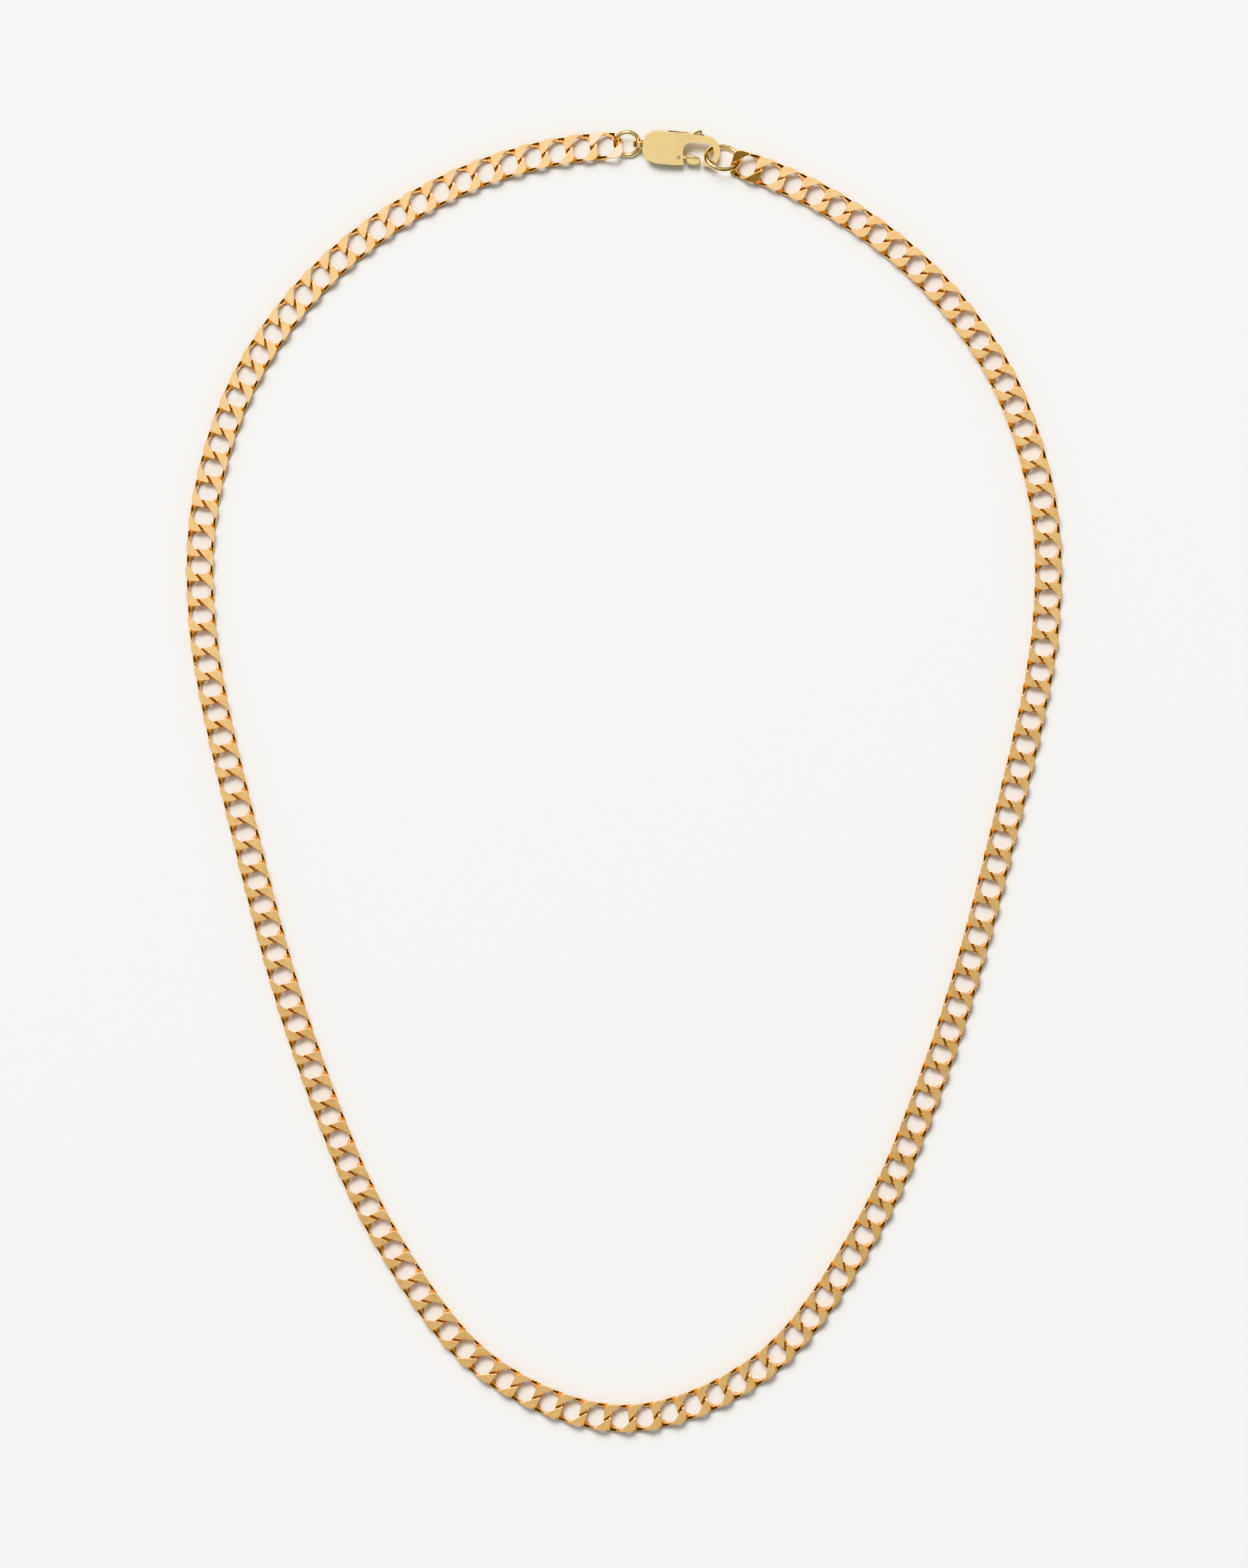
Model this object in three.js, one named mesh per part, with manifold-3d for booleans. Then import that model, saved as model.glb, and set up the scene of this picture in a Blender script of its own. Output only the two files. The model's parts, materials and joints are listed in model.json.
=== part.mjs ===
// Fine gold curb chain necklace, laid out flat as a closed loop and fastened by a lobster clasp.
// Millimetres, +Z up, the clasp at the +Y end, the chain resting on z = 0.
import * as THREE from 'three';
import { mergeVertices } from 'three/addons/utils/BufferGeometryUtils.js';
import Module from 'manifold-3d';

const wasm = await Module();
wasm.setup();

// ---- the loop as it lies ----
const loopHalfWidth = 57.9;        // chain centre line, widest point to the middle
const loopHalfLength = 87.4;       // chain centre line, middle to either end
// One side of the loop, clasp end to front, as shares of the two half sizes.
const sideOutline = [
  [0, 1], [0.345, 0.955], [0.663, 0.829], [0.884, 0.651], [0.991, 0.447], [1, 0.245],
  [0.896, -0.091], [0.751, -0.43], [0.565, -0.716], [0.32, -0.922], [0, -1],
];

// ---- one curb link ----
const pitch = 3.4;                 // link to link along the chain
const linkWidth = 3.76;            // across the chain
const chainThickness = 1.7;        // between the two flat cut faces
const endBar = 0.48;               // wire seen from above, across the ends
const sideBar = 0.56;              // wire seen from above, along the sides
const crossingGap = 0.22;          // between two interlocked links, in plan and in height
const cornerLength = 0.75;         // outer corner cut, along the link
const cornerWidth = 0.68;          // outer corner cut, across the link
const innerCornerLength = 0.95;    // inner corner cut, along the link
const innerCornerWidth = 0.9;     // inner corner cut, across the link
const bridgeLength = 0.56;         // solder bridge that joins the links of one run
const bridgeWidth = 0.5;
const bridgeHeight = 0.36;

// ---- how the chain is divided ----
const runsPerSide = 26;
const rootLinks = 2;
const leftChainEnd = 2.5;          // last left link's middle, before the loop's top
const rightChainEnd = 17.2;        // first right link's middle, past the loop's top
const leftLinkRoll = -7;           // degrees, the last link leans with the ring it holds
const rightLinkRoll = 10;          // degrees, the first link leans the other way

// ---- rings ----
const tailRingRadius = 1.64;       // centre line
const tailRingWire = 0.68;
const tailRingX = 0.47;
const tailRingRise = 0.25;         // centre above the top of the chain line
const tailRingLift = 0.36;         // centre above the chain's middle height
const tailRingRoll = 24.6;           // degrees about X, far side up
const tailRingPitch = -3;          // degrees about Y, clasp side up
const endRingHalfLength = 2.27;    // centre line of the oval
const endRingHalfWidth = 1.86;
const endRingWire = 0.7;
const endRingX = 13.53;
const endRingDrop = 1.75;          // centre below the top of the chain line
const endRingLift = 0.5;           // centre above the chain's middle height
const endRingRoll = -28;           // degrees about X, near side up
const endRingPitch = 11.7;           // degrees about Y, clasp side up

// ---- clasp ----
const claspX = 7.5;
const claspDrop = 0.4;             // middle below the top of the chain line
const claspLift = 0.77;            // middle above the chain's middle height
const claspYaw = -5.5;             // degrees about Z
const claspRoll = 16;              // degrees about its own long axis
const bodyThickness = 1.9;
const hookThickness = 1.0;
const bodyBevel = 0.2;
const eyeX = -5.45;                // tail eye, its hole runs across the clasp
const eyeDrop = 0.3;
const eyeRadius = 0.86;
const eyeHole = 0.55;
const eyeWidth = 0.9;
const hubX = 0.1;                  // lever pivot
const hubY = -1.2;
const hubRadius = 0.62;
const pinRadius = 0.26;
const pinLength = 1.7;
const pinFit = 0.05;               // radial clearance of the pin in body and lever
const leverThickness = 0.6;
const leverSlot = 0.9;             // slot in the body, across its thickness
const gateThickness = 0.9;
const springX = -1.25;             // middle of the coil
const springY = 0.35;
const springRadius = 0.26;
const springWire = 0.12;
const springLength = 1.3;
const springTurns = 4;

const group = new THREE.Group();
group.name = 'chain_necklace';
const gold = { color: 0xe6c078, roughness: 0.28, metalness: 1 };
const brightGold = { color: 0xf2d89c, roughness: 0.16, metalness: 1 };

// ---- solids ----
function toSolid(geometry) {
  const bare = geometry.clone();
  for (const name of ['normal', 'uv']) bare.deleteAttribute(name);
  const closed = mergeVertices(bare, 1e-5);
  const vertProperties = new Float32Array(closed.attributes.position.array);
  const triVerts = new Uint32Array(closed.index.array);
  return new wasm.Manifold(new wasm.Mesh({ numProp: 3, vertProperties, triVerts }));
}

function toGeometry(solid) {
  const mesh = solid.getMesh();
  const geometry = new THREE.BufferGeometry();
  geometry.setAttribute('position', new THREE.BufferAttribute(new Float32Array(mesh.vertProperties), 3));
  geometry.setIndex([...mesh.triVerts]);
  geometry.computeVertexNormals();
  return geometry;
}

function addPart(name, geometry, look) {
  const mesh = new THREE.Mesh(geometry, new THREE.MeshStandardMaterial(look));
  mesh.name = name;
  group.add(mesh);
  return mesh;
}

function radians(degrees) {
  return THREE.MathUtils.degToRad(degrees);
}

// ---- the route of the chain ----
const rightSide = sideOutline.map(([x, y]) => new THREE.Vector3(x * loopHalfWidth, y * loopHalfLength, 0));
const leftSide = rightSide.slice(1, -1).map((p) => new THREE.Vector3(-p.x, p.y, 0)).reverse();
const route = new THREE.CatmullRomCurve3([...rightSide, ...leftSide], true, 'centripetal');
route.arcLengthDivisions = 1200;
const routeLength = route.getLength();

// Distance runs from the top of the loop down the right side, round the front and up the left.
// A link that leans is lifted until its lower edge is back on the ground.
function routePlace(distance, roll = 0) {
  const share = distance / routeLength;
  const spot = route.getPointAt(share);
  const heading = route.getTangentAt(share);
  const place = new THREE.Matrix4().makeRotationZ(Math.atan2(heading.y, heading.x));
  place.multiply(new THREE.Matrix4().makeRotationX(radians(roll)));
  const lift = (linkWidth / 2) * Math.sin(radians(Math.abs(roll)));
  place.setPosition(spot.x, spot.y, chainThickness / 2 + lift);
  return place;
}

// ---- one link: a ring whose corners rise and fall in turn, cut flat above and below ----
function linkGeometry() {
  const outerX = pitch / 2 + crossingGap / 2 + endBar;
  const innerX = pitch / 2 + crossingGap / 2;
  const outerY = linkWidth / 2;
  const innerY = linkWidth / 2 - sideBar;
  const high = chainThickness / 2;
  const low = crossingGap / 2;
  const endStation = { ox: outerX, oy: outerY - cornerWidth, ix: innerX, iy: innerY - innerCornerWidth };
  const sideStation = { ox: outerX - cornerLength, oy: outerY, ix: innerX - innerCornerLength, iy: innerY };
  const corners = [[1, 1, false], [-1, 1, true], [-1, -1, false], [1, -1, true]];
  const positions = [];
  corners.forEach(([sx, sy, raised]) => {
    const inOrder = sx * sy > 0 ? [endStation, sideStation] : [sideStation, endStation];
    const top = raised ? high : -low;
    const bottom = raised ? low : -high;
    inOrder.forEach(({ ox, oy, ix, iy }) => {
      positions.push(sx * ox, sy * oy, top, sx * ox, sy * oy, bottom);
      positions.push(sx * ix, sy * iy, bottom, sx * ix, sy * iy, top);
    });
  });
  const stations = positions.length / 12;
  const index = [];
  for (let s = 0; s < stations; s += 1) {
    const next = (s + 1) % stations;
    const falls = positions[s * 12 + 2] > positions[next * 12 + 2];
    for (let k = 0; k < 4; k += 1) {
      const after = (k + 1) % 4;
      const [a, b] = [s * 4 + k, s * 4 + after];
      const [c, d] = [next * 4 + after, next * 4 + k];
      // Each twisted face is folded along the diagonal that keeps clear of the next link.
      if (falls) index.push(a, b, d, b, c, d);
      else index.push(a, b, c, a, c, d);
    }
  }
  const geometry = new THREE.BufferGeometry();
  geometry.setAttribute('position', new THREE.Float32BufferAttribute(positions, 3));
  geometry.setIndex(index);
  return geometry;
}

// ---- runs of links ----
const chainStart = rightChainEnd;
const chainEnd = routeLength - leftChainEnd;
const linkCount = Math.round((chainEnd - chainStart) / pitch) + 1;
const step = (chainEnd - chainStart) / (linkCount - 1);
const link = linkGeometry();
const bridge = new THREE.BoxGeometry(bridgeLength, bridgeWidth, bridgeHeight);

function linkDistance(number) {
  return chainStart + number * step;
}

function linkRoll(number) {
  if (number === 0) return rightLinkRoll;
  return number === linkCount - 1 ? leftLinkRoll : 0;
}

function addRun(name, first, last) {
  let solid = null;
  for (let n = first; n <= last; n += 1) {
    const place = routePlace(linkDistance(n), linkRoll(n));
    const piece = toSolid(link.clone().applyMatrix4(place));
    solid = solid ? solid.add(piece) : piece;
    if (n > first) {
      solid = solid.add(toSolid(bridge.clone().applyMatrix4(routePlace(linkDistance(n - 0.5)))));
    }
  }
  addPart(name, toGeometry(solid), gold);
}

// The front run is the root; the runs of each side are numbered upwards from it.
const sideLinks = linkCount - rootLinks;
const middleDistance = routeLength / 2;
const rightLinks = Math.round((middleDistance - chainStart) / step + 0.5) - rootLinks / 2;
const leftLinks = sideLinks - rightLinks;
addRun('chain_run_front', rightLinks, rightLinks + rootLinks - 1);
for (let r = 0; r < runsPerSide; r += 1) {
  const label = String(r + 1).padStart(2, '0');
  const near = Math.round((r * rightLinks) / runsPerSide);
  const far = Math.round(((r + 1) * rightLinks) / runsPerSide);
  addRun(`chain_run_right_${label}`, rightLinks - far, rightLinks - near - 1);
}
for (let r = 0; r < runsPerSide; r += 1) {
  const label = String(r + 1).padStart(2, '0');
  const near = Math.round((r * leftLinks) / runsPerSide);
  const far = Math.round(((r + 1) * leftLinks) / runsPerSide);
  const offset = rightLinks + rootLinks;
  addRun(`chain_run_left_${label}`, offset + near, offset + far - 1);
}

// ---- rings ----
function ovalRing(halfLength, halfWidth, wire, turns, sides) {
  const wireSection = new THREE.Shape();
  for (let k = 0; k < sides; k += 1) {
    const angle = ((k + 0.5) * 2 * Math.PI) / sides;
    const point = [(Math.cos(angle) * wire) / 2, (Math.sin(angle) * wire) / 2];
    if (k === 0) wireSection.moveTo(...point);
    else wireSection.lineTo(...point);
  }
  wireSection.closePath();
  const points = [];
  for (let k = 0; k < turns; k += 1) {
    const angle = (k * 2 * Math.PI) / turns;
    points.push(new THREE.Vector3(Math.cos(angle) * halfLength, Math.sin(angle) * halfWidth, 0));
  }
  const line = new THREE.CatmullRomCurve3(points, true);
  return closedSweep(line, wireSection.getPoints(), turns);
}

// A closed wire: the section is carried round the line and its last ring of points meets the first.
function closedSweep(line, section, turns) {
  const positions = [];
  const index = [];
  const sides = section.length - 1;
  const up = new THREE.Vector3(0, 0, 1);
  for (let t = 0; t < turns; t += 1) {
    const spot = line.getPoint(t / turns);
    const side = new THREE.Vector3().crossVectors(line.getTangent(t / turns), up).normalize();
    for (let k = 0; k < sides; k += 1) {
      const point = spot.clone().addScaledVector(side, section[k].x).addScaledVector(up, section[k].y);
      positions.push(point.x, point.y, point.z);
    }
  }
  for (let t = 0; t < turns; t += 1) {
    const next = (t + 1) % turns;
    for (let k = 0; k < sides; k += 1) {
      const after = (k + 1) % sides;
      const [a, b] = [t * sides + k, t * sides + after];
      const [c, d] = [next * sides + after, next * sides + k];
      index.push(a, c, b, a, d, c);
    }
  }
  const geometry = new THREE.BufferGeometry();
  geometry.setAttribute('position', new THREE.Float32BufferAttribute(positions, 3));
  geometry.setIndex(index);
  return geometry;
}

function leaning(x, y, z, roll, tilt) {
  const place = new THREE.Matrix4().makeRotationY(radians(tilt));
  place.multiply(new THREE.Matrix4().makeRotationX(radians(roll)));
  place.setPosition(x, y, z);
  return place;
}

const tailRing = ovalRing(tailRingRadius, tailRingRadius, tailRingWire, 20, 8);
tailRing.applyMatrix4(leaning(
  tailRingX, loopHalfLength + tailRingRise, chainThickness / 2 + tailRingLift, tailRingRoll, tailRingPitch));
addPart('tail_ring', tailRing, brightGold);
const endRing = ovalRing(endRingHalfLength, endRingHalfWidth, endRingWire, 24, 8);
endRing.applyMatrix4(leaning(
  endRingX, loopHalfLength - endRingDrop, chainThickness / 2 + endRingLift, endRingRoll, endRingPitch));
addPart('end_ring', endRing, brightGold);

// ---- clasp, drawn flat: x along it towards the hook, y towards the thumb knob ----
const claspPlace = new THREE.Matrix4().makeRotationZ(radians(claspYaw));
claspPlace.multiply(new THREE.Matrix4().makeRotationX(radians(claspRoll)));
claspPlace.setPosition(claspX, loopHalfLength - claspDrop, chainThickness / 2 + claspLift);

function plate(outline, thickness, bevel, curveSegments = 5) {
  const options = { depth: thickness - 2 * bevel, steps: 1, curveSegments };
  const edges = { bevelEnabled: bevel > 0, bevelThickness: bevel, bevelSize: bevel, bevelOffset: -bevel };
  const geometry = new THREE.ExtrudeGeometry(outline, { ...options, ...edges, bevelSegments: 2 });
  return geometry.translate(0, 0, bevel - thickness / 2);
}

function closedShape(points) {
  return new THREE.Shape(points.map(([x, y]) => new THREE.Vector2(x, y)));
}

function roundRod(radius, length, sides) {
  return new THREE.CylinderGeometry(radius, radius, length, sides).rotateX(Math.PI / 2);
}

// Body: a domed plate with one straight top edge and a rounded belly.
const bodyShape = new THREE.Shape();
bodyShape.moveTo(-4.9, 0.55);
bodyShape.quadraticCurveTo(-4.3, 2.15, -2.9, 2.2);
bodyShape.lineTo(0.9, 2.15);
bodyShape.lineTo(1.35, 1.0);
bodyShape.quadraticCurveTo(0.6, 0.7, 0.62, -0.3);
bodyShape.lineTo(0.95, -2.2);
bodyShape.lineTo(-0.5, -2.3);
bodyShape.quadraticCurveTo(-3.6, -2.35, -4.4, -1.8);
bodyShape.quadraticCurveTo(-5.0, -1.2, -4.9, -0.55);
bodyShape.closePath();

// Hook: from inside the body along the top edge, round the far end and back to its tip.
const hookShape = new THREE.Shape();
hookShape.moveTo(-1, 2.2);
hookShape.lineTo(3.6, 2.1);
hookShape.quadraticCurveTo(5.0, 2.0, 5.5, 0.9);
hookShape.quadraticCurveTo(5.95, -0.1, 5.5, -1.1);
hookShape.lineTo(4.75, -2.0);
hookShape.lineTo(3.5, -2.1);
hookShape.lineTo(3.4, -1.55);
hookShape.lineTo(4.2, -1.5);
hookShape.quadraticCurveTo(4.95, -1.0, 4.9, -0.1);
hookShape.quadraticCurveTo(4.75, 1.0, 3.9, 1.05);
hookShape.lineTo(1.2, 1.05);
hookShape.lineTo(-1, 0.8);
hookShape.closePath();

// Tail eye: a short tube across the clasp, so the ring can lie flat beside it.
const eyeOutline = new THREE.Shape();
eyeOutline.absarc(0, 0, eyeRadius, 0, 2 * Math.PI);
const eyeOpening = new THREE.Path();
eyeOpening.absarc(0, 0, eyeHole, 0, 2 * Math.PI);
eyeOutline.holes.push(eyeOpening);
const eye = new THREE.ExtrudeGeometry(eyeOutline, { depth: eyeWidth, bevelEnabled: false, curveSegments: 6 });
eye.rotateX(Math.PI / 2).translate(eyeX, eyeWidth / 2, -eyeDrop);
const eyeHoleRod = new THREE.CylinderGeometry(eyeHole, eyeHole, bodyThickness * 4, 24);
eyeHoleRod.translate(eyeX, 0, -eyeDrop);

// Lever slot: open along the top edge over the hook's root and at the belly below the pivot.
const slotShape = closedShape([
  [-0.75, -3], [1.2, -3], [1.2, 0.9], [3.35, 0.9], [3.35, 3], [-1.55, 3], [-1.75, 0.8], [-2.15, 0.8],
  [-2.15, -0.1], [-0.75, -0.5],
]);

let claspBody = toSolid(plate(bodyShape, bodyThickness, bodyBevel));
claspBody = claspBody.add(toSolid(plate(hookShape, hookThickness, bodyBevel / 2)));
claspBody = claspBody.add(toSolid(eye));
claspBody = claspBody.subtract(toSolid(plate(slotShape, leverSlot, 0)));
const pinHole = roundRod(pinRadius + pinFit, bodyThickness * 2, 16).translate(hubX, hubY, 0);
claspBody = claspBody.subtract(toSolid(pinHole));
addPart('clasp_body', toGeometry(claspBody).applyMatrix4(claspPlace), brightGold);

// Lever: hub, an arm up the slot to the thumb knob, and the gate that closes the hook.
const leverShape = new THREE.Shape();
leverShape.absarc(hubX, hubY, hubRadius, Math.PI, 1.9 * Math.PI);
leverShape.lineTo(1.3, -1.5);
leverShape.lineTo(1.3, -0.95);
leverShape.lineTo(0.5, -0.75);
leverShape.lineTo(0.45, 1.15);
leverShape.lineTo(2.9, 1.2);
leverShape.lineTo(3.0, 2.75);
leverShape.quadraticCurveTo(2.7, 2.95, 2.3, 2.7);
leverShape.lineTo(1.2, 1.95);
leverShape.lineTo(0, 1.9);
leverShape.quadraticCurveTo(-0.35, 1.8, -0.35, 1.3);
leverShape.lineTo(-0.3, -0.6);
leverShape.closePath();
const gateShape = new THREE.Shape();
gateShape.moveTo(1.1, -0.85);
gateShape.lineTo(2.7, -0.98);
gateShape.quadraticCurveTo(3.15, -1.1, 3.15, -1.5);
gateShape.lineTo(3.1, -2.08);
gateShape.lineTo(1.25, -2.15);
gateShape.closePath();
let lever = toSolid(plate(leverShape, leverThickness, 0));
lever = lever.add(toSolid(plate(gateShape, gateThickness, bodyBevel / 2)));
lever = lever.subtract(toSolid(pinHole));
addPart('clasp_trigger', toGeometry(lever).applyMatrix4(claspPlace), brightGold);

const pin = roundRod(pinRadius, pinLength, 16).translate(hubX, hubY, 0);
addPart('clasp_pivot_pin', pin.applyMatrix4(claspPlace), gold);

// Coil spring between the slot's end wall and the lever's arm.
class CoilLine extends THREE.Curve {
  getPoint(t, target = new THREE.Vector3()) {
    const angle = t * springTurns * 2 * Math.PI;
    const along = springX + (t - 0.5) * springLength;
    return target.set(along, springY + Math.cos(angle) * springRadius, Math.sin(angle) * springRadius);
  }
}
const springCorners = [[1, 1], [-1, 1], [-1, -1], [1, -1]];
const springSection = closedShape(springCorners.map(([x, y]) => [x * springWire / 2, y * springWire / 2]));
const springSteps = springTurns * 8;
const spring = new THREE.ExtrudeGeometry(springSection, { steps: springSteps, extrudePath: new CoilLine() });
addPart('clasp_spring', spring.applyMatrix4(claspPlace), gold);

// The origin sits on the ground under the middle of the whole outline.
const outline = new THREE.Box3().setFromObject(group);
const middle = outline.getCenter(new THREE.Vector3());
group.children.forEach((mesh) => mesh.geometry.translate(-middle.x, -middle.y, -outline.min.z));

export default group;
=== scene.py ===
import json
import math
import random

import bpy
import numpy as np
from mathutils import Matrix, Vector


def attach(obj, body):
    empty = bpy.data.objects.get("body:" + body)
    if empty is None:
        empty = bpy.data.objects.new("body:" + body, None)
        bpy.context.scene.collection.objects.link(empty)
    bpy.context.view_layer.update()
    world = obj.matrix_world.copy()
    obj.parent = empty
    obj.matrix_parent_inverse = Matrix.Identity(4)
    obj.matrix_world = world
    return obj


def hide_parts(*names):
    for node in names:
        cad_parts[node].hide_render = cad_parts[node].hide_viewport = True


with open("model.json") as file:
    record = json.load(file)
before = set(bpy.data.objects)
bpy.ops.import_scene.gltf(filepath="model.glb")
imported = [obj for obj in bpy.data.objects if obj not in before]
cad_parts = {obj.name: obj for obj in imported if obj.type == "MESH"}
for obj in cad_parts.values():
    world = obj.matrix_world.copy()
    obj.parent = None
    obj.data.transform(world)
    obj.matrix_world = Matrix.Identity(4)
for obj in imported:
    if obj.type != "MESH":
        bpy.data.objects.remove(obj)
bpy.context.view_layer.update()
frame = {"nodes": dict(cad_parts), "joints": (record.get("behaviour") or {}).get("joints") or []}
mm = 0.001
scene = bpy.context.scene
nodes = frame["nodes"]
joints = {joint["name"]: joint for joint in frame["joints"]}
print("frame loaded:", len(nodes), "nodes")


class Wire:
    # a shader socket that can stand in a sum
    def __init__(self, tree, socket):
        self.tree = tree
        self.socket = socket

    def maths(self, operation, first, second):
        return addNode(self.tree, "ShaderNodeMath", {"operation": operation}, {0: first, 1: second}).out(0)

    def __add__(self, other):
        return self.maths("ADD", self, other)

    def __radd__(self, other):
        return self.maths("ADD", other, self)

    def __sub__(self, other):
        return self.maths("SUBTRACT", self, other)

    def __rsub__(self, other):
        return self.maths("SUBTRACT", other, self)

    def __mul__(self, other):
        return self.maths("MULTIPLY", self, other)

    def __rmul__(self, other):
        return self.maths("MULTIPLY", other, self)


class Made:
    # a node that has just been added, asked for its outputs
    def __init__(self, tree, node):
        self.tree = tree
        self.node = node

    def out(self, name):
        return Wire(self.tree, self.node.outputs[name])


def addNode(tree, kind, settings=None, values=None):
    # settings such as an operation or a ramp's stops go in before the sockets' values and links
    node = tree.nodes.new(kind)
    for name, value in (settings or {}).items():
        if name == "ramp":
            ramp = node.color_ramp
            while len(ramp.elements) < len(value):
                ramp.elements.new(0.5)
            for element, (place, colour) in zip(ramp.elements, value):
                element.position, element.color = place, colour
        else:
            setattr(node, name, value)
    for name, value in (values or {}).items():
        socket = node.inputs[name]
        if isinstance(value, Wire):
            tree.links.new(value.socket, socket)
        else:
            socket.default_value = value
    return Made(tree, node)


def newMaterial(name):
    material = bpy.data.materials.new(name)
    material.use_nodes = True
    tree = material.node_tree
    tree.nodes.clear()
    place = addNode(tree, "ShaderNodeTexCoord").out("Object")
    return material, tree, place


def finishMaterial(tree, values):
    shader = addNode(tree, "ShaderNodeBsdfPrincipled", {}, values)
    addNode(tree, "ShaderNodeOutputMaterial", {}, {"Surface": shader.out("BSDF")})


def noise(tree, place, scale, detail=3.0, rough=0.5, stretch=(1, 1, 1), turn=0.0):
    mapped = addNode(tree, "ShaderNodeMapping", {}, {
        "Vector": place, "Scale": stretch, "Rotation": (0, 0, math.radians(turn))}).out("Vector")
    return addNode(tree, "ShaderNodeTexNoise", {}, {
        "Vector": mapped, "Scale": scale, "Detail": detail, "Roughness": rough}).out("Fac")


def mixColours(tree, factor, low, high, blend="MIX"):
    return addNode(tree, "ShaderNodeMix", {"data_type": "RGBA", "blend_type": blend}, {
        "Factor": factor, 6: low, 7: high}).out(2)


def ramp(tree, factor, low, high):
    return addNode(tree, "ShaderNodeValToRGB", {"ramp": [
        (low, (0, 0, 0, 1)), (high, (1, 1, 1, 1))]}, {"Fac": factor}).out("Color")


gold = {
    "drift": {"scale": 160, "detail": 3, "rough": 0.6},
    "haze": {"scale": 700, "detail": 4, "rough": 0.65},
    "grain": {"scale": 9000, "detail": 2, "rough": 0.6, "turn": 38},
    "scratch": {"scale": 2600, "detail": 5, "rough": 0.7, "stretch": (1, 14, 1), "turn": -27},
    "scratchFrom": 0.62, "scratchTo": 0.70, "scratchTint": 0.35, "scratchRough": 0.06, "scratchHeight": 0.35,
    "worn": (0.95, 0.74, 0.42, 1),
    "tintFrom": 0.35, "tintTo": 0.65, "hazeShare": 0.5, "hazeHeight": 0.25,
    "grainShare": 0.6,                                 # of a finish's spread
    "bumpStrength": 0.35, "bumpDepth": 0.0000022,      # metres
}
finishes = {
    # planed faces of the links, their walls, the clasp's faces, and drawn or polished edges; the walls'
    # deeper orange is painted reflection of gold on gold
    "satinGold": {"pale": (0.89, 0.62, 0.295, 1), "deep": (0.85, 0.54, 0.22, 1),
                  "rough": 0.26, "spread": 0.10, "grain": 1.0, "stretch": (1, 4, 1)},
    # the link walls: really polished, but their deeper orange than the planed faces is painted reflection of
    # the neighbouring gold
    "wallGoldPaintedReflection": {"pale": (0.96, 0.62, 0.27, 1), "deep": (0.94, 0.52, 0.17, 1),
                 "rough": 0.17, "spread": 0.08, "grain": 0.3, "stretch": (1, 3, 1)},
    "claspGold": {"pale": (0.92, 0.72, 0.37, 1), "deep": (0.89, 0.68, 0.33, 1),
                  "rough": 0.12, "spread": 0.06, "grain": 0.4, "stretch": (1, 6, 1)},
    "wireGold": {"pale": (0.93, 0.73, 0.39, 1), "deep": (0.91, 0.67, 0.32, 1),
                 "rough": 0.07, "spread": 0.05, "grain": 0.3, "stretch": (1, 2, 1)},
}


def goldMaterial(name):
    # alloy colour that drifts a little, fine tool marks, hair scratches and finger haze
    finish = finishes[name]
    spread, hazeShare, grainShare = finish["spread"], gold["hazeShare"], gold["grainShare"]
    material, tree, place = newMaterial(name)
    drift = noise(tree, place, **gold["drift"])
    fine = noise(tree, place, stretch=finish["stretch"], **gold["grain"])
    haze = noise(tree, place, **gold["haze"])
    hair = ramp(tree, noise(tree, place, **gold["scratch"]), gold["scratchFrom"], gold["scratchTo"])
    mask = ramp(tree, drift * (1 - hazeShare) + haze * hazeShare, gold["tintFrom"], gold["tintTo"])
    colour = mixColours(tree, mask, finish["deep"], finish["pale"])
    colour = mixColours(tree, hair * gold["scratchTint"], colour, gold["worn"])
    roughness = (finish["rough"] + haze * spread + fine * spread * grainShare
                 + hair * gold["scratchRough"] - spread * grainShare)
    height = fine * finish["grain"] + hair * gold["scratchHeight"] + haze * gold["hazeHeight"]
    bump = addNode(tree, "ShaderNodeBump", {}, {
        "Strength": gold["bumpStrength"], "Distance": gold["bumpDepth"], "Height": height}).out("Normal")
    finishMaterial(tree, {"Base Color": colour, "Metallic": 1.0, "Roughness": roughness, "Normal": bump})
    return material


satinGold = goldMaterial("satinGold")
wallGoldPaintedReflection = goldMaterial("wallGoldPaintedReflection")
claspGold = goldMaterial("claspGold")
wireGold = goldMaterial("wireGold")

steel = {
    "drawn": {"scale": 5000, "detail": 3, "rough": 0.5, "stretch": (8, 1, 1)},
    "haze": {"scale": 600, "detail": 3, "rough": 0.6},
    "dark": (0.50, 0.47, 0.42, 1), "light": (0.66, 0.63, 0.58, 1),
    "rough": 0.22, "drawnRough": 0.15, "bumpStrength": 0.3, "bumpDepth": 0.000002,
}


def steelMaterial():
    material, tree, place = newMaterial("springSteel")
    drawn = noise(tree, place, **steel["drawn"])
    haze = noise(tree, place, **steel["haze"])
    colour = mixColours(tree, haze, steel["dark"], steel["light"])
    bump = addNode(tree, "ShaderNodeBump", {}, {
        "Strength": steel["bumpStrength"], "Distance": steel["bumpDepth"], "Height": drawn}).out("Normal")
    finishMaterial(tree, {"Base Color": colour, "Metallic": 1.0, "Normal": bump,
                          "Roughness": steel["rough"] + drawn * steel["drawnRough"]})
    return material


springSteel = steelMaterial()
print("materials made")


def deselectAll():
    if bpy.context.mode != "OBJECT":
        bpy.ops.object.mode_set(mode="OBJECT")
    bpy.ops.object.select_all(action="DESELECT")


def applyModifier(piece, kind, settings):
    modifier = piece.modifiers.new(kind.lower(), kind)
    for name, value in settings.items():
        setattr(modifier, name, value)
    bpy.context.view_layer.objects.active = piece
    bpy.ops.object.modifier_apply(modifier=modifier.name)


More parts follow.
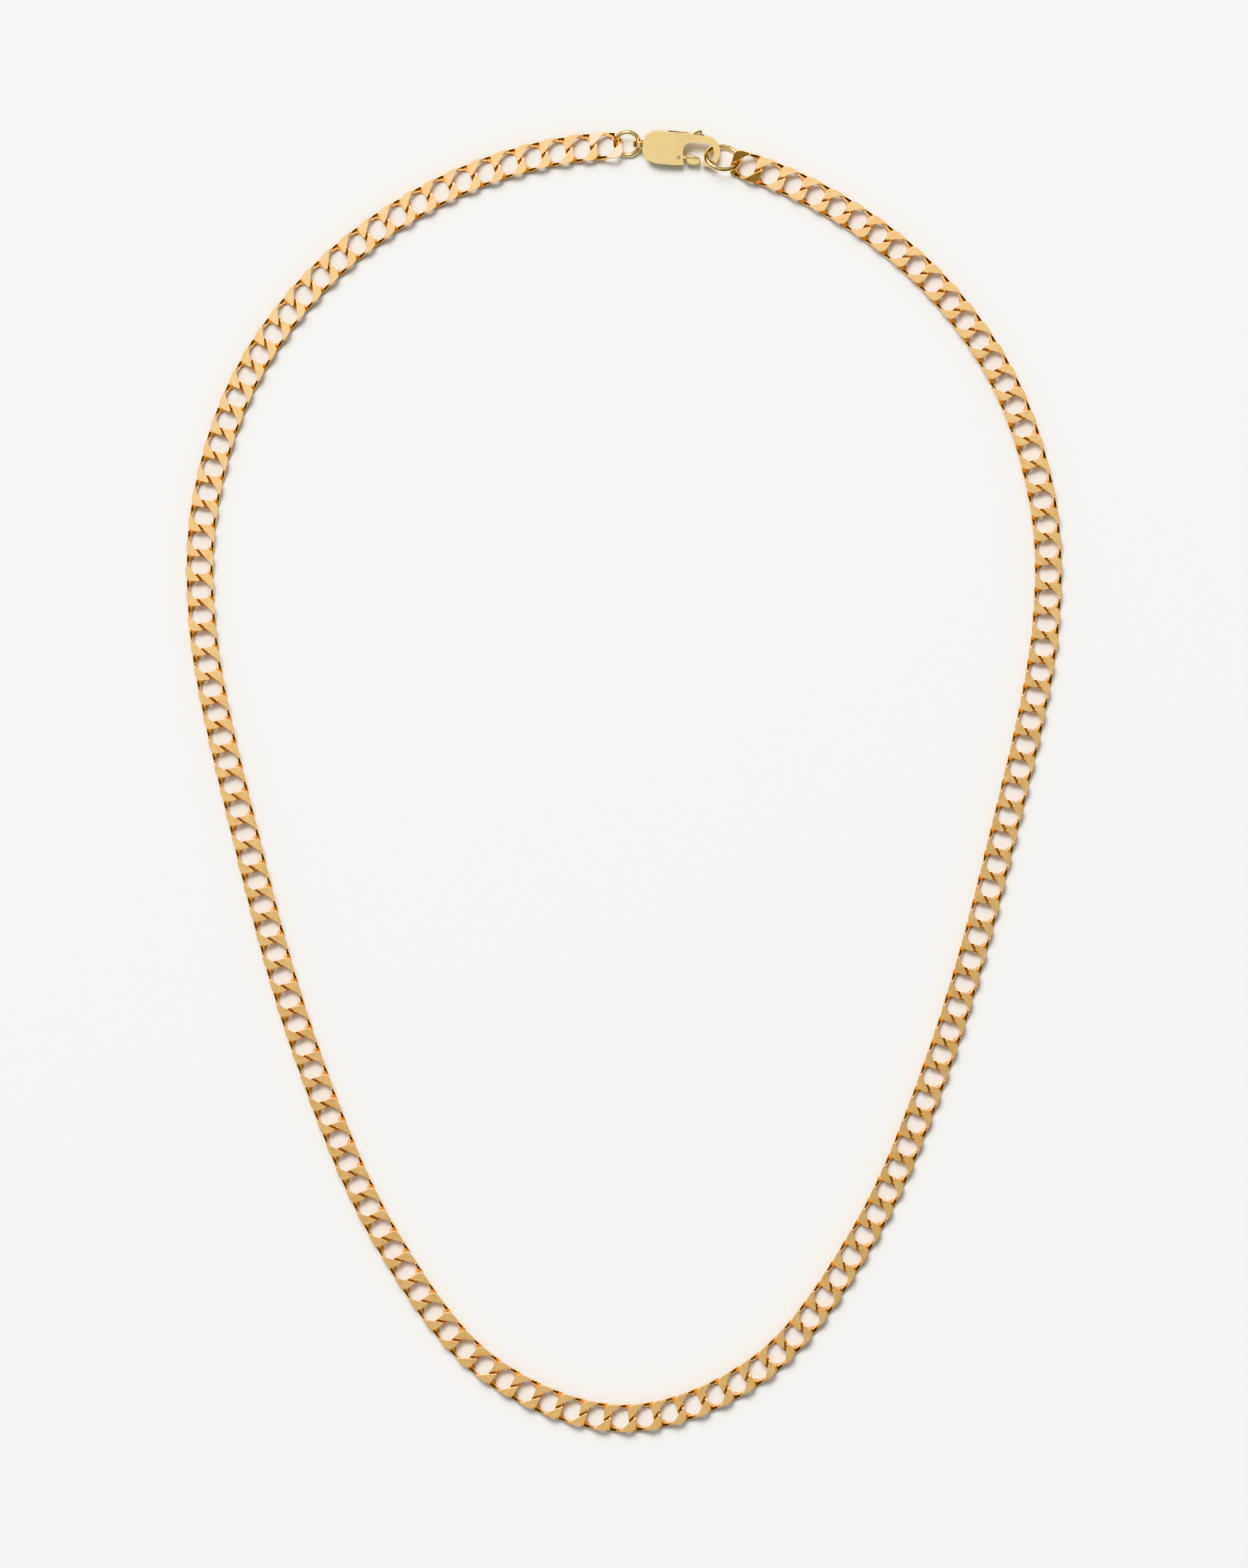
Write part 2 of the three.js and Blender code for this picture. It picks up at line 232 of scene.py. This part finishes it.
def bevelEdges(piece, width, segments, over, **others):
    # rounds the edges that turn by more than a number of degrees
    applyModifier(piece, "BEVEL", {"width": width, "segments": segments, "limit_method": "ANGLE",
                                   "angle_limit": math.radians(over), **others})


def weighNormals(piece, weight):
    applyModifier(piece, "WEIGHTED_NORMAL", {"keep_sharp": True, "weight": weight, "mode": "FACE_AREA"})


def smooth(piece, angle=30):
    deselectAll()
    piece.select_set(True)
    bpy.context.view_layer.objects.active = piece
    bpy.ops.object.shade_smooth_by_angle(angle=math.radians(angle))
    piece.select_set(False)


def turnFacesOut():
    bpy.ops.mesh.select_all(action="SELECT")
    bpy.ops.mesh.normals_make_consistent(inside=False)


def setMaterials(piece, *materials):
    piece.data.materials.clear()
    for material in materials:
        piece.data.materials.append(material)


def placeMesh(piece, matrix):
    piece.data.transform(matrix)
    piece.matrix_world = Matrix.Identity(4)


def turned(degrees, axis):
    return Matrix.Rotation(math.radians(degrees), 4, axis)


def hold(piece, body, node):
    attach(piece, body)
    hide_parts(node)


loop = {
    # the oval that the chain lies on, as shares of half its width and half its length
    "halfWidth": 57.9, "halfLength": 87.4,
    "side": [(0, 1), (0.345, 0.955), (0.663, 0.829), (0.884, 0.651), (0.991, 0.447), (1, 0.245),
             (0.896, -0.091), (0.751, -0.43), (0.565, -0.716), (0.32, -0.922), (0, -1)],
    "firstLink": 17.2, "lastLink": 2.5,                # distance from the top of the oval, each way round
    "pitch": 3.4, "thickness": 1.7, "width": 3.76,
    "runs": 26, "rootLinks": 2,                        # bodies on each side, and links of the front body
    "leftRoll": -7, "rightRoll": 10,                   # degrees, of the links beside the rings
    "crooked": 1.0, "tipped": 0.4,                     # degrees
    "steps": 160, "headingStep": 0.2,
}


def closedLine(points, steps):
    # centripetal spline through the points, as a dense list of places
    count, dense = len(points), []
    for i in range(count):
        p = [np.array(points[(i + k - 1) % count], float) for k in range(4)]
        d = [max(np.linalg.norm(p[k + 1] - p[k]) ** 0.5, 1e-4) for k in range(3)]
        t1 = ((p[1] - p[0]) / d[0] - (p[2] - p[0]) / (d[0] + d[1]) + (p[2] - p[1]) / d[1]) * d[1]
        t2 = ((p[2] - p[1]) / d[1] - (p[3] - p[1]) / (d[1] + d[2]) + (p[3] - p[2]) / d[2]) * d[1]
        for s in range(steps):
            t = s / steps
            dense.append(p[1] + t1 * t + (-3 * p[1] + 3 * p[2] - 2 * t1 - t2) * t ** 2
                         + (2 * p[1] - 2 * p[2] + t1 + t2) * t ** 3)
    return np.array(dense + dense[:1])


side = [(x * loop["halfWidth"], y * loop["halfLength"]) for x, y in loop["side"]]
line = closedLine(side + [(-x, y) for x, y in side[-2:0:-1]], loop["steps"])
reach = np.concatenate([[0], np.cumsum(np.linalg.norm(np.diff(line, axis=0), axis=1))])
lineLength = reach[-1]


def linePoint(distance):
    return np.array([np.interp(distance % lineLength, reach, line[:, k]) for k in (0, 1)])


firstLink, lastLink = loop["firstLink"], lineLength - loop["lastLink"]
linkCount = int(math.floor((lastLink - firstLink) / loop["pitch"] + 0.5)) + 1
step = (lastLink - firstLink) / (linkCount - 1)
rightLinks = int(math.floor((lineLength / 2 - firstLink) / step + 1)) - loop["rootLinks"] // 2
leftLinks = linkCount - loop["rootLinks"] - rightLinks

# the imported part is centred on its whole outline, so the line is moved by the same small amount
firstFold = Vector(joints["fold_left_01"]["pos_m"]) / mm
unshifted = linePoint(firstLink + (rightLinks + loop["rootLinks"] - 0.5) * step)
shift = Vector((firstFold.x - unshifted[0], firstFold.y - unshifted[1], 0))
print("chain line", round(lineLength, 2), "mm,", linkCount, "links, shift", [round(v, 4) for v in shift])

dice = random.Random(11)      # the same crooked links each run


def linkPlace(number):
    # every link lies a little crooked within its play, except for the two beside the rings
    distance = firstLink + number * step
    crooked, tipped = dice.uniform(-1, 1) * loop["crooked"], dice.uniform(-1, 1) * loop["tipped"]
    if number in (0, linkCount - 1):
        crooked, tipped = 0, 0
    roll = loop["rightRoll"] if number == 0 else loop["leftRoll"] if number == linkCount - 1 else 0
    spot = linePoint(distance)
    before, after = (linePoint(distance + way * loop["headingStep"]) for way in (-1, 1))
    heading = math.atan2(after[1] - before[1], after[0] - before[0]) + math.radians(crooked)
    halfWidth = loop["width"] / 2
    lift = halfWidth * (math.sin(math.radians(abs(roll))) + math.sin(math.radians(abs(tipped))) * 0.5)
    spot = Vector((spot[0], spot[1], loop["thickness"] / 2 + lift)) + shift
    return (Matrix.Scale(mm, 4) @ Matrix.Translation(spot)
            @ Matrix.Rotation(heading, 4, "Z") @ turned(roll + tipped, "X"))


def runOf(number):
    # the CAD body that carries a link
    if number < rightLinks:
        total, index, label = rightLinks, rightLinks - 1 - number, "right"
    elif number < rightLinks + loop["rootLinks"]:
        return "chain_run_front"
    else:
        total, index, label = leftLinks, number - rightLinks - loop["rootLinks"], "left"
    for run in range(loop["runs"]):
        if index < math.floor((run + 1) * total / loop["runs"] + 0.5):
            return f"chain_run_{label}_{run + 1:02d}"


# A ring of round wire that was twisted and then planed flat above and below. Each row is a cut through
# the wire, from the middle of the long side to the middle of the end, and goes round its outer upper edge,
# outer middle, outer lower edge, inner lower edge, inner middle and inner upper edge.
link = {
    "rows": [
        ((0, 1.80, 0.42), (0, 1.88, 0), (0, 1.80, -0.42), (0, 1.53, -0.64), (0, 1.38, 0), (0, 1.53, 0.64)),
        ((-0.26, 1.87, 0.85), (-0.26, 1.88, 0.10), (-0.28, 1.80, -0.34),
         (-0.28, 1.53, -0.56), (-0.25, 1.37, 0.12), (-0.14, 1.62, 0.85)),
        ((-0.80, 1.88, 0.85), (-0.80, 1.88, 0.30), (-0.84, 1.82, 0.04),
         (-0.86, 1.46, -0.14), (-0.73, 1.25, 0.30), (-0.47, 1.36, 0.85)),
        ((-1.36, 1.87, 0.85), (-1.38, 1.87, 0.48), (-1.36, 1.80, 0.24),
         (-1.26, 1.14, 0.25), (-1.12, 0.99, 0.46), (-0.82, 1.00, 0.85)),
        ((-1.90, 1.68, 0.85), (-1.90, 1.68, 0.48), (-1.86, 1.62, 0.25),
         (-1.52, 0.89, 0.24), (-1.37, 0.79, 0.46), (-1.12, 0.72, 0.85)),
        ((-2.20, 1.24, 0.85), (-2.20, 1.24, 0.47), (-2.12, 1.20, 0.22),
         (-1.76, 0.63, 0.18), (-1.60, 0.53, 0.40), (-1.36, 0.49, 0.85)),
        ((-2.22, 0.62, 0.85), (-2.22, 0.62, 0.30), (-2.19, 0.62, -0.30),
         (-1.97, 0.36, -0.32), (-1.81, 0.28, 0.22), (-1.62, 0.27, 0.85)),
        ((-2.20, 0.16, 0.85), (-2.21, 0.18, 0.05), (-2.21, 0.20, -0.78),
         (-1.92, 0.14, -0.78), (-1.86, 0.10, 0.05), (-1.80, 0.10, 0.85)),
        ((-2.21, 0.00, 0.85), (-2.21, 0.00, 0), (-2.21, 0.00, -0.85),
         (-1.89, 0.00, -0.85), (-1.87, 0.00, 0), (-1.89, 0.00, 0.85)),
    ],
    "edge": 0.045, "edgeSteps": 2, "edgeOver": 34, "smoothOver": 40, "flatWithin": 0.01,
    "normalWeight": 100,
}


def linkSections():
    # a quarter of the ring from the rows, the other three by turning it over its own axes
    quarter, swap = link["rows"], (2, 1, 0, 5, 4, 3)

    def mirrored(section, sx, sy, sz):
        points = [(x * sx, y * sy, z * sz) for x, y, z in section]
        return [points[k] for k in swap] if sz < 0 else points

    ring = [mirrored(s, 1, 1, 1) for s in quarter]
    ring += [mirrored(s, 1, -1, -1) for s in quarter[-2::-1]]
    ring += [mirrored(s, -1, -1, 1) for s in quarter[1:]]
    ring += [mirrored(s, -1, 1, -1) for s in quarter[-2:0:-1]]
    return ring


def makeLink():
    sections = linkSections()
    deselectAll()
    bpy.ops.mesh.primitive_torus_add(major_segments=len(sections), minor_segments=len(sections[0]),
                                     major_radius=2, minor_radius=0.5)
    piece = bpy.context.object
    piece.name = "linkPattern"
    corners = [p for s in sections for p in s]
    for vertex, corner in zip(piece.data.vertices, corners):
        vertex.co = corner
    bpy.ops.object.mode_set(mode="EDIT")
    turnFacesOut()
    bpy.ops.object.mode_set(mode="OBJECT")
    # the planed faces are satin, the rest is polished and takes a deeper orange that is painted reflection
    setMaterials(piece, wallGoldPaintedReflection, satinGold)
    flat = loop["thickness"] / 2 - link["flatWithin"]
    for face in piece.data.polygons:
        heights = [abs(piece.data.vertices[v].co.z) for v in face.vertices]
        face.material_index = 1 if min(heights) > flat else 0
    bevelEdges(piece, link["edge"], link["edgeSteps"], link["edgeOver"],
               material=0, harden_normals=False, miter_outer="MITER_SHARP")
    smooth(piece, link["smoothOver"])
    weighNormals(piece, link["normalWeight"])
    return piece


pattern = makeLink()
print("link pattern:", len(pattern.data.polygons), "faces")
for number in range(linkCount):
    piece = pattern.copy()
    piece.data = pattern.data.copy()
    piece.name = f"link_{number + 1:03d}"
    if number == 0:
        # the ring rubs the link next to the clasp bright, and its planed faces also take the walls' orange
        # of painted reflection
        piece.data.materials[1] = wallGoldPaintedReflection
    scene.collection.objects.link(piece)
    placeMesh(piece, linkPlace(number))
    run = runOf(number)
    hold(piece, run, run)
bpy.data.objects.remove(pattern)
print("chain made:", linkCount, "links")


rings = {
    "tail_ring": {"halfLength": 1.64, "halfWidth": 1.64, "wire": 0.68, "place": (0.47, 87.65, 1.21),
                  "roll": 24.6, "pitch": -3, "seam": 200},
    "end_ring": {"halfLength": 2.27, "halfWidth": 1.86, "wire": 0.7, "place": (13.53, 85.65, 1.35),
                 "roll": -28, "pitch": 11.7, "seam": 62},
}
wire = {
    "around": 96, "across": 20, "smoothOver": 60,
    "inside": 0.9, "jointHeight": 0.05, "swell": 2.2, "crease": 0.9,      # the last two in degrees
}


def makeRing(name, size):
    deselectAll()
    bpy.ops.mesh.primitive_torus_add(major_segments=wire["around"], minor_segments=wire["across"],
                                     major_radius=size["halfLength"], minor_radius=size["wire"] / 2)
    piece = bpy.context.object
    piece.name = name + "_wire"
    for vertex in piece.data.vertices:
        x, y, z = vertex.co
        angle, out = math.atan2(y, x), math.hypot(x, y) - size["halfLength"]
        # drawn wire is a little flat inside, and the soldered joint stands a hair proud
        inner = wire["inside"] if out < 0 else 1.0
        turn = (math.degrees(angle) - size["seam"] + 180) % 360 - 180
        swell, crease = (math.exp(-(turn / wire[k]) ** 2) for k in ("swell", "crease"))
        joint = 1 + wire["jointHeight"] * swell - wire["jointHeight"] * crease
        axis = Vector((math.cos(angle) * size["halfLength"], math.sin(angle) * size["halfWidth"], 0))
        normal = Vector((math.cos(angle) / size["halfLength"], math.sin(angle) / size["halfWidth"], 0))
        vertex.co = axis + normal.normalized() * out * inner * joint + Vector((0, 0, z * joint))
    setMaterials(piece, wireGold)
    smooth(piece, wire["smoothOver"])
    placeMesh(piece, Matrix.Scale(mm, 4) @ Matrix.Translation(Vector(size["place"]) + shift)
              @ turned(size["pitch"], "Y") @ turned(size["roll"], "X"))
    hold(piece, name, name)


for name, size in rings.items():
    makeRing(name, size)
print("rings made")


def curveThrough(steps, start, *pieces):
    # a path from a start through pieces that are an end, or a control point and an end
    here, path = start, [start]
    for piece in pieces:
        end = piece[-1]
        if len(piece) == 1:
            path.append(end)
        else:
            control = piece[0]
            for s in range(1, steps + 1):
                t = s / steps
                path.append(tuple((1 - t) ** 2 * here[k] + 2 * t * (1 - t) * control[k] + t * t * end[k]
                                  for k in (0, 1)))
        here = end
    return path


def outlinePlate(name, outline, thickness):
    # a round primitive whose rim is moved to the outline, then given its thickness
    deselectAll()
    bpy.ops.mesh.primitive_circle_add(vertices=len(outline), radius=1, fill_type="NGON")
    piece = bpy.context.object
    piece.name = name
    for vertex, (x, y) in zip(piece.data.vertices, outline):
        vertex.co = (x, y, -thickness / 2)
    bpy.ops.object.mode_set(mode="EDIT")
    bpy.ops.mesh.select_all(action="SELECT")
    bpy.ops.mesh.extrude_region_move(TRANSFORM_OT_translate={"value": (0, 0, thickness)})
    turnFacesOut()
    bpy.ops.object.mode_set(mode="OBJECT")
    return piece


def joinWith(piece, tool, operation="DIFFERENCE"):
    applyModifier(piece, "BOOLEAN", {"operation": operation, "object": tool, "solver": "EXACT"})
    bpy.data.objects.remove(tool)


def rod(name, radius, length, place, sides=40, lengthwise=None):
    # a round bar upright at its place, unless it is given the turn that lays it down
    deselectAll()
    bpy.ops.mesh.primitive_cylinder_add(vertices=sides, radius=radius, depth=length, location=(0, 0, 0))
    piece = bpy.context.object
    piece.name = name
    placeMesh(piece, Matrix.Translation(place) @ (lengthwise or Matrix.Identity(4)))
    return piece


clasp = {
    "place": (7.5, 87, 1.62), "yaw": -5.5, "roll": 16,
    "outline": [(-4.95, 0.45), ((-4.75, 1.75), (-3.6, 2.1)), ((-3.3, 2.2), (-2.6, 2.2)),
                ((0, 2.24), (3.6, 2.1)), ((5.0, 2.0), (5.5, 0.9)), ((5.95, -0.1), (5.5, -1.1)),
                ((5.2, -1.85), (4.75, -2.0)), ((3.5, -2.1),), ((3.4, -1.55),), ((4.2, -1.5),),
                ((4.95, -1.0), (4.9, -0.1)),
                ((4.75, 1.0), (3.9, 1.05)), ((1.9, 1.05),), ((0.62, 0.95), (0.62, -0.3)),
                ((0.62, -1.2), (0.95, -2.2)), ((-0.5, -2.3),), ((-2.6, -2.28),),
                ((-3.6, -2.2), (-4.15, -1.85)), ((-4.85, -1.35), (-4.95, -0.45))],
    "thickness": 1.9, "hookThickness": 1.0, "taperFrom": -3.5, "taperTo": 4.5, "rim": 0.40,
    "eyeX": -5.45, "eyeDrop": 0.3, "eyeRadius": 0.86, "eyeHole": 0.55, "eyeWidth": 0.9, "eyeEdge": 0.12,
    "neck": [(-5.2, 0.4), (-4.4, 0.62), (-4.4, -0.62), (-5.2, -0.4)], "neckThickness": 1.0,
    "slot": [(-0.75, -3), (1.2, -3), (1.2, 0.9), (3.35, 0.9), (3.35, 3), (-1.55, 3), (-1.75, 0.8),
             (-2.15, 0.8), (-2.15, -0.1), (-0.75, -0.5)], "slotThickness": 0.9,
    "hub": (0.1, -1.2, 0), "pinRadius": 0.26, "pinFit": 0.002, "drill": 8,
}
claspPlace = (Matrix.Scale(mm, 4) @ Matrix.Translation(Vector(clasp["place"]) + shift)
              @ turned(clasp["yaw"], "Z") @ turned(clasp["roll"], "X"))


def makeClaspBody():
    size, across = clasp, Matrix.Rotation(math.pi / 2, 4, "X")
    eyePlace = (size["eyeX"], 0, -size["eyeDrop"])
    piece = outlinePlate("claspCase", curveThrough(10, *size["outline"]), size["thickness"])
    setMaterials(piece, claspGold, wireGold)
    # the case thins out towards the hook, and its rounded rim is polished
    applyModifier(piece, "TRIANGULATE", {})
    for vertex in piece.data.vertices:
        share = min(max((vertex.co.x - size["taperFrom"]) / (size["taperTo"] - size["taperFrom"]), 0), 1)
        share = share * share * (3 - 2 * share)
        vertex.co.z *= 1 + (size["hookThickness"] / size["thickness"] - 1) * share
    bevelEdges(piece, size["rim"], 8, 50, profile=0.55, material=1)
    eye = rod("eye", size["eyeRadius"], size["eyeWidth"], eyePlace, 48, across)
    bevelEdges(eye, size["eyeEdge"], 4, 50)
    neck = outlinePlate("neck", size["neck"], size["neckThickness"])
    placeMesh(neck, Matrix.Translation((0, 0, -size["eyeDrop"])))
    joinWith(piece, eye, "UNION")
    joinWith(piece, neck, "UNION")
    joinWith(piece, rod("eyeHole", size["eyeHole"], size["drill"], eyePlace, 48, across))
    joinWith(piece, outlinePlate("slot", size["slot"], size["slotThickness"]))
    joinWith(piece, rod("pinHole", size["pinRadius"] + size["pinFit"], size["drill"], size["hub"]))
    smooth(piece, 28)
    weighNormals(piece, 50)
    piece.name = "clasp_case"
    placeMesh(piece, claspPlace)
    hold(piece, "clasp", "clasp_body")


lever = {
    "thickness": 0.6, "edge": 0.07, "hubRadius": 0.62, "pinPlay": 0.04,
    "hubFrom": math.pi, "hubTo": 1.9 * math.pi, "hubSteps": 14,
    "outline": [(1.3, -1.5), ((1.3, -0.95),), ((0.5, -0.9), (0.45, 0.2)), ((0.45, 1.2), (0.9, 1.2)),
                ((2.9, 1.2),), ((3.1, 2.0), (3.0, 2.7)), ((2.75, 2.95), (2.3, 2.7)),
                ((1.5, 2.0), (0.8, 1.95)), ((-0.35, 1.95), (-0.35, 1.3)), ((-0.3, -0.6),)],
    "gate": [(1.1, -0.85), ((2.7, -0.98),), ((3.15, -1.1), (3.15, -1.5)), ((3.1, -2.08),), ((1.25, -2.15),)],
    "gateThickness": 0.9, "gateEdge": 0.1,
}


def makeTrigger():
    size, (hx, hy, _) = lever, clasp["hub"]
    hub = [(hx + size["hubRadius"] * math.cos(a), hy + size["hubRadius"] * math.sin(a))
           for a in np.linspace(size["hubFrom"], size["hubTo"], size["hubSteps"])]
    piece = outlinePlate("lever", hub + curveThrough(6, *size["outline"]), size["thickness"])
    bevelEdges(piece, size["edge"], 3, 50)
    gate = outlinePlate("gate", curveThrough(8, *size["gate"]), size["gateThickness"])
    bevelEdges(gate, size["gateEdge"], 4, 40)
    joinWith(piece, gate, "UNION")
    joinWith(piece, rod("pinHole", clasp["pinRadius"] + size["pinPlay"], clasp["drill"], clasp["hub"], 32))
    setMaterials(piece, claspGold)
    smooth(piece, 30)
    piece.name = "trigger_lever"
    placeMesh(piece, claspPlace)
    hold(piece, "clasp_trigger", "clasp_trigger")


rivet = {"length": 1.54, "edge": 0.006}


def makeRivet():
    # hammered flush and polished over
    piece = rod("pivot_rivet", clasp["pinRadius"], rivet["length"], clasp["hub"])
    bevelEdges(piece, rivet["edge"], 2, 50)
    setMaterials(piece, claspGold)
    smooth(piece, 30)
    placeMesh(piece, claspPlace)
    hold(piece, "clasp", "clasp_pivot_pin")


makeClaspBody()
makeTrigger()
makeRivet()
nodes["clasp_spring"].data.materials.clear()
nodes["clasp_spring"].data.materials.append(springSteel)
print("clasp made")


studio = {
    "floorPale": (0.93, 0.93, 0.92, 1), "floorDeep": (0.93 * 0.995, 0.93 * 0.995, 0.92 * 0.995, 1),
    "floorSize": 6, "floorDrop": 0.00002, "floorRough": 0.9, "floorGloss": 0.1,
    "paper": {"scale": 900, "detail": 4, "rough": 0.6},
    "frameWidth": 171.6, "frameShape": 2156 / 1716, "cameraHeight": 0.9, "look": (0.0, -0.44), "sensor": 24,
    "keyPower": 31.0, "keyPlace": (-0.30, 0.84, 1.35), "keySize": 0.95,
    "cardPower": 0.27, "cardPlace": (-0.02, -0.33, 0.78), "cardSize": 0.38,
    "ceiling": [(0.0, (0.02, 0.018, 0.015, 1)), (0.40, (0.03, 0.026, 0.022, 1)),
                (0.60, (0.42, 0.42, 0.42, 1)), (0.85, (0.60, 0.60, 0.60, 1))],
    "panelTowards": (0.0, -0.26, 0.966), "panelInner": 0.985, "panelOuter": 0.94,
    "panelTint": (0.82, 0.69, 0.42, 1),
    "windowY": 1.0, "windowX": 0.7, "dimmest": 0.5, "brightest": 1.6,
    "flagTowards": (-0.0707, -0.2418, 0.968), "flagInner": 0.9945, "flagOuter": 0.9877, "flagLight": 0.05,
}


def makeFloor():
    deselectAll()
    bpy.ops.mesh.primitive_plane_add(size=studio["floorSize"], location=(0, 0, 0))
    floor = bpy.context.object
    floor.name = "floor"
    material, tree, place = newMaterial("paleFloor")
    paper = noise(tree, place, **studio["paper"])
    colour = mixColours(tree, paper, studio["floorDeep"], studio["floorPale"])
    finishMaterial(tree, {"Base Color": colour, "Roughness": studio["floorRough"],
                          "Specular IOR Level": studio["floorGloss"]})
    setMaterials(floor, material)
    placeMesh(floor, Matrix.Translation((0, 0, -studio["floorDrop"])))


def softLight(name):
    # a round soft light aimed at the middle of the chain
    data = bpy.data.lights.new(name, "AREA")
    data.energy, data.size = studio[name + "Power"], studio[name + "Size"]
    data.shape = "DISK"
    light = bpy.data.objects.new(name, data)
    scene.collection.objects.link(light)
    light.location = studio[name + "Place"]
    light.rotation_euler = (-light.location).to_track_quat("-Z", "Y").to_euler()


def spotShare(tree, direction, name, inside, outside):
    # one value within a round patch of the ceiling, another outside it, with a soft edge
    facing = addNode(tree, "ShaderNodeVectorMath", {"operation": "DOT_PRODUCT"}, {
        0: direction, 1: studio[name + "Towards"]}).out("Value")
    return addNode(tree, "ShaderNodeMapRange", {"interpolation_type": "SMOOTHSTEP"}, {
        "Value": facing, "From Min": studio[name + "Outer"], "From Max": studio[name + "Inner"],
        "To Min": outside, "To Max": inside}).out("Result")


def makeSky():
    world = bpy.data.worlds.new("studioRoom")
    scene.world = world
    world.use_nodes = True
    tree = world.node_tree
    tree.nodes.clear()
    direction = addNode(tree, "ShaderNodeTexCoord").out("Generated")
    parts = addNode(tree, "ShaderNodeSeparateXYZ", {}, {0: direction})
    # an even ceiling over dark walls, with a warm panel on its near side
    tone = addNode(tree, "ShaderNodeValToRGB", {"ramp": studio["ceiling"]}, {
        "Fac": parts.out("Z")}).out("Color")
    warm = mixColours(tree, spotShare(tree, direction, "panel", 1.0, 0.0), (1, 1, 1, 1), studio["panelTint"])
    tone = mixColours(tree, 1.0, tone, warm, "MULTIPLY")
    # brighter towards the window side, and a dark flag hung over the table
    slope = parts.out("Y") * studio["windowY"] - parts.out("X") * studio["windowX"] + 1.0
    strength = addNode(tree, "ShaderNodeClamp", {}, {
        "Value": slope, "Min": studio["dimmest"], "Max": studio["brightest"]}).out(0)
    flag = spotShare(tree, direction, "flag", studio["flagLight"], 1.0)
    back = addNode(tree, "ShaderNodeBackground", {}, {"Color": tone, "Strength": strength * flag})
    addNode(tree, "ShaderNodeOutputWorld", {}, {"Surface": back.out("Background")})


def makeCamera():
    data = bpy.data.cameras.new("camera")
    camera = bpy.data.objects.new("camera", data)
    scene.collection.objects.link(camera)
    frameHeight = studio["frameWidth"] * mm * studio["frameShape"]
    data.sensor_fit = "VERTICAL"
    data.sensor_height = studio["sensor"]
    data.lens = studio["sensor"] * studio["cameraHeight"] / frameHeight
    data.clip_start, data.clip_end = 0.01, 20
    lookX, lookY = studio["look"]
    camera.location = (lookX * mm, lookY * mm, studio["cameraHeight"])
    scene.camera = camera


makeFloor()
softLight("key")
softLight("card")
makeSky()
makeCamera()
scene.view_settings.view_transform = "Khronos PBR Neutral"
print("studio made")
